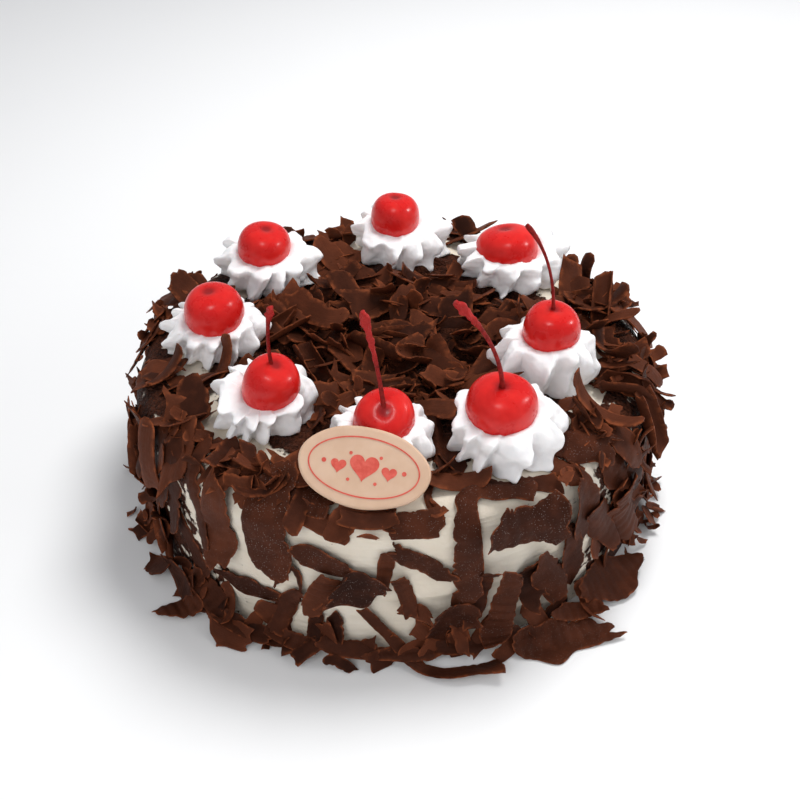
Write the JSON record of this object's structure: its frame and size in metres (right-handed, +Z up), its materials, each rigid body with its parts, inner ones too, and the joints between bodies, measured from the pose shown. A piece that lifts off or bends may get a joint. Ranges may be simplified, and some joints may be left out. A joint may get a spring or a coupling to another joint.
{
  "type": "black forest cake",
  "caption": "Round cream-coated cake covered in curled chocolate shavings, ringed with piped cream rosettes, each with a red cherry, and an oval white-chocolate plaque at the front.",
  "frame": {"origin": "centre of the cake's flat base", "axes": "+Z up out of the cake's top, -Y towards the front, where the plaque leans, +X to the right of someone facing the front"},
  "size_m": [0.209, 0.2172, 0.1199],
  "materials": {
    "chocolate_coat": "dull dark chocolate shavings over cream",
    "whipped_cream": "soft satin whipped cream",
    "cherry": "wet glossy red, with a dark red stem where there is one",
    "white_chocolate": "satin ivory white chocolate"
  },
  "bodies": {
    "root": {"cake": "chocolate_coat", "rosette_1": "whipped_cream", "rosette_2": "whipped_cream", "rosette_3": "whipped_cream", "rosette_4": "whipped_cream", "rosette_5": "whipped_cream", "rosette_6": "whipped_cream", "rosette_7": "whipped_cream", "rosette_8": "whipped_cream", "cherry_1": "cherry", "cherry_2": "cherry", "cherry_3": "cherry", "cherry_4": "cherry", "cherry_5": "cherry", "cherry_6": "cherry", "cherry_7": "cherry", "cherry_8": "cherry", "plaque": "white_chocolate"}
  },
  "joints": []
}
